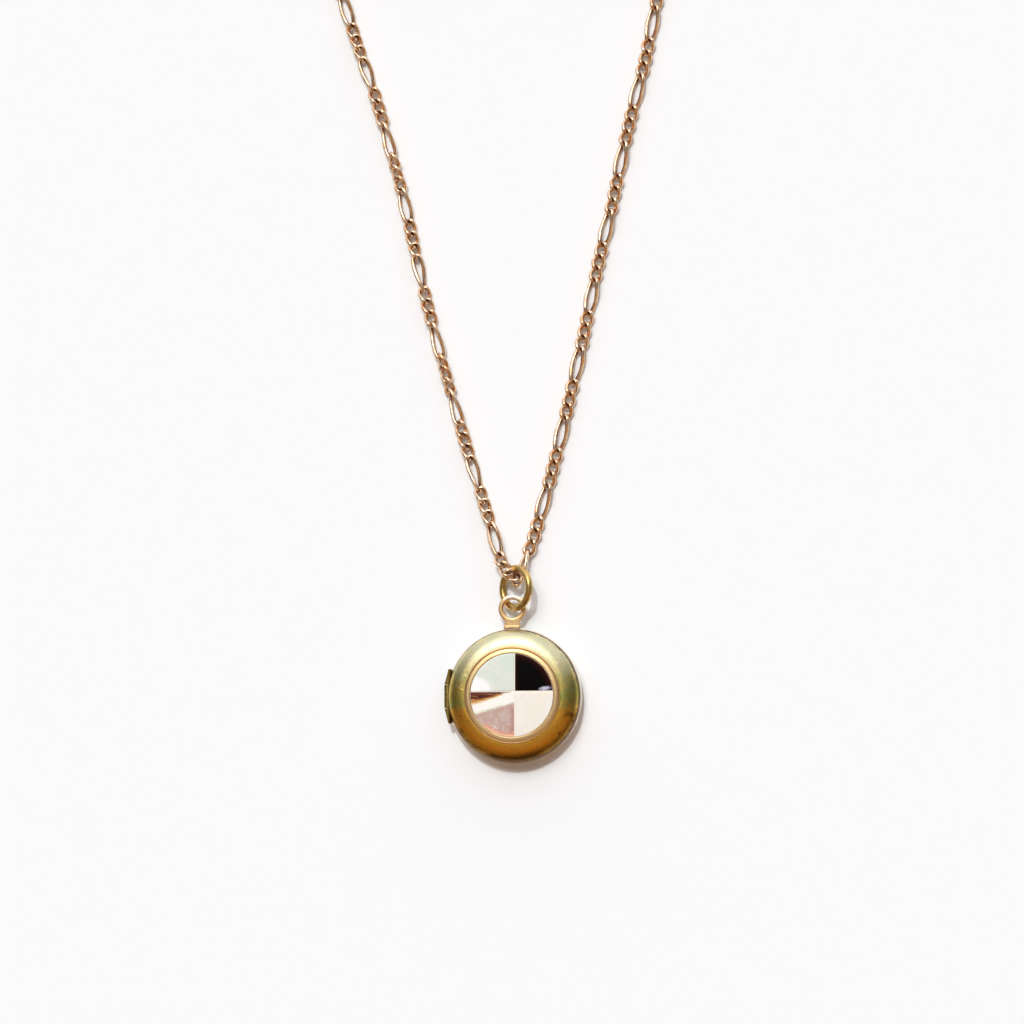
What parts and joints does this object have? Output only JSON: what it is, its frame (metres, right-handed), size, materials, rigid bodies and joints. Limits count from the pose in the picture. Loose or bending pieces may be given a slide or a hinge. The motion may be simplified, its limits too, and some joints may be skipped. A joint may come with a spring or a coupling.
{
  "type": "round hinged locket on a neck chain",
  "caption": "Round hinged photo locket with a quartered stone inlay, hung by a jump ring on a fine neck chain with a spring-ring clasp.",
  "frame": {"origin": "centre of the flat back face of the locket", "axes": "+Z out of the decorated front, +Y towards the eye, jump ring and chain, hinge on the -X side"},
  "size_m": [0.0562, 0.1425, 0.0054],
  "materials": {
    "antique_brass": "satin, darkened in the hollows",
    "rim_brass": "bright, lightly worn",
    "setting_brass": "bright on the edges, dark in the groove",
    "pin_brass": "dark satin",
    "ring_brass": "polished wire",
    "cement": "matte resin cement",
    "pearl": "polished mother-of-pearl",
    "onyx": "polished black",
    "iridescent_shell": "polished shell with silky bands",
    "cream_shell": "polished cream shell",
    "rose_gold_plate": "polished plated chain",
    "spring_steel": "drawn wire"
  },
  "bodies": {
    "back": {"back_shell": "antique_brass", "back_rim": "rim_brass", "eye_tab": "rim_brass", "hinge_knuckle_upper": "rim_brass", "hinge_knuckle_lower": "rim_brass", "hinge_pin": "pin_brass", "back_photo_frame": "rim_brass", "chain_left": "rose_gold_plate", "chain_right": "rose_gold_plate", "chain_left_coil": "rose_gold_plate", "chain_right_coil": "rose_gold_plate", "clasp_body": "rose_gold_plate", "clasp_spring": "spring_steel", "clasp_eye": "rose_gold_plate", "clasp_connector_ring": "rose_gold_plate", "end_ring": "rose_gold_plate"},
    "front_cover": {"front_shell": "antique_brass", "hinge_knuckle_center": "rim_brass", "stone_bezel": "setting_brass", "inlay_bed": "cement", "inlay_pearl_top_left": "pearl", "inlay_onyx_top_right": "onyx", "inlay_shell_bottom_left": "iridescent_shell", "inlay_cream_bottom_right": "cream_shell", "front_photo_frame": "rim_brass"},
    "jump_ring": {"jump_ring": "ring_brass"},
    "clasp_tongue": {"clasp_tongue": "rose_gold_plate"}
  },
  "joints": [
    {"name": "cover_hinge", "type": "hinge", "parent": "back", "child": "front_cover", "pos_m": [-0.00985, 0, 0.00248], "axis": [0, -1, 0], "range_deg": [0, 150]},
    {"name": "ring_swivel", "type": "hinge", "parent": "back", "child": "jump_ring", "pos_m": [0.001, 0.01587, 0.00245], "axis": [0, -1, 0], "range_deg": [0, 40]},
    {"name": "clasp_trigger", "type": "hinge", "parent": "back", "child": "clasp_tongue", "pos_m": [-0.01815, 0.11983, 0.0006], "axis": [0, 0, 1], "range_deg": [0, 40], "stiffness_Nm_per_rad": 0.002}
  ]
}
